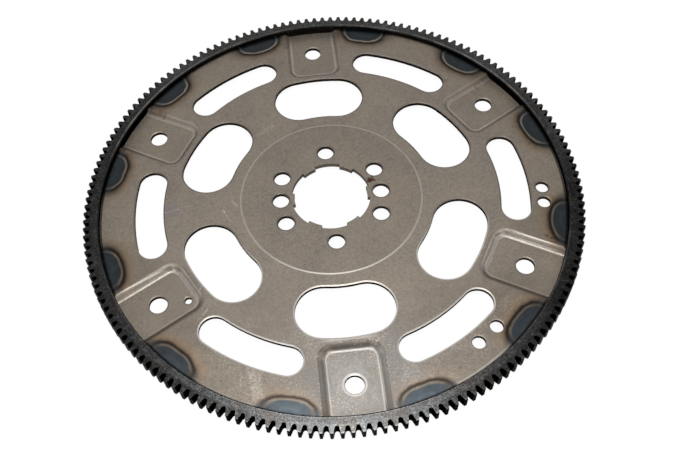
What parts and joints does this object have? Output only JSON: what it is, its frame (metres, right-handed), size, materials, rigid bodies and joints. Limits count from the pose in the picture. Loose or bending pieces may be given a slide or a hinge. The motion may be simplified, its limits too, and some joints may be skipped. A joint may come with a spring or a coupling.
{
  "type": "flexplate",
  "caption": "Flat pressed steel flexplate with kidney windows, arc slots and recessed converter pads, welded into a starter ring gear.",
  "frame": {"origin": "on the crankshaft's axis, in the plane that the ring and the undersides of the pads rest on", "axes": "+Z along the crankshaft's axis towards the hub land's face, +Y towards the first converter pad, +X through the two side holes"},
  "size_m": [0.3598, 0.3598, 0.0108],
  "materials": {
    "bare_steel": "bare pressed sheet, dull warm grey, heat-tinted at the welds, with light scratches and rust",
    "gear_steel": "dark heat-treatment scale, worn to bare metal on the edges",
    "weld_metal": "dull weld metal with a rippled face"
  },
  "bodies": {
    "root": {"flex_disc": "bare_steel", "ring_gear": "gear_steel", "weld_bead_01": "weld_metal", "weld_bead_02": "weld_metal", "weld_bead_03": "weld_metal", "weld_bead_04": "weld_metal", "weld_bead_05": "weld_metal", "weld_bead_06": "weld_metal", "weld_bead_07": "weld_metal", "weld_bead_08": "weld_metal", "weld_bead_09": "weld_metal", "weld_bead_10": "weld_metal", "weld_bead_11": "weld_metal", "weld_bead_12": "weld_metal"}
  },
  "joints": []
}
